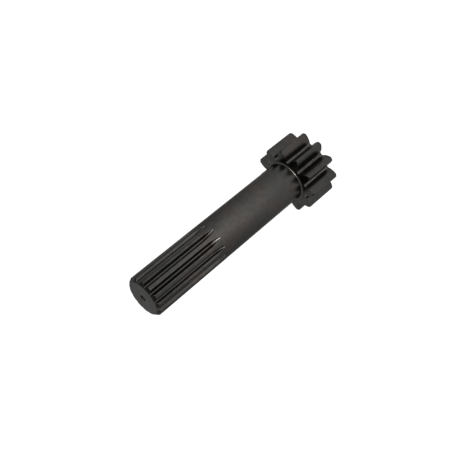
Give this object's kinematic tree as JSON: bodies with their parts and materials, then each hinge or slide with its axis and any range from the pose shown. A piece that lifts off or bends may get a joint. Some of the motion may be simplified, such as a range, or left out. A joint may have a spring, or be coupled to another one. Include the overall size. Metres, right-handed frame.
{
  "type": "sun gear",
  "caption": "One-piece steel sun gear shaft: spur pinion at one end, plain round shaft, and an external spline with cutter run-out at the other end.",
  "frame": {"origin": "on the shaft's axis, in the pinion's outer end face, on which the part stands", "axes": "+Z along the shaft's axis, from the pinion towards the splined end; +X through the middle of one pinion tooth and in line with one spline tooth"},
  "size_m": [0.053, 0.0536, 0.1745],
  "materials": {
    "gear_steel": "dark heat-treated steel, semi-gloss"
  },
  "bodies": {
    "root": {"sun_gear_shaft": "gear_steel"}
  },
  "joints": []
}
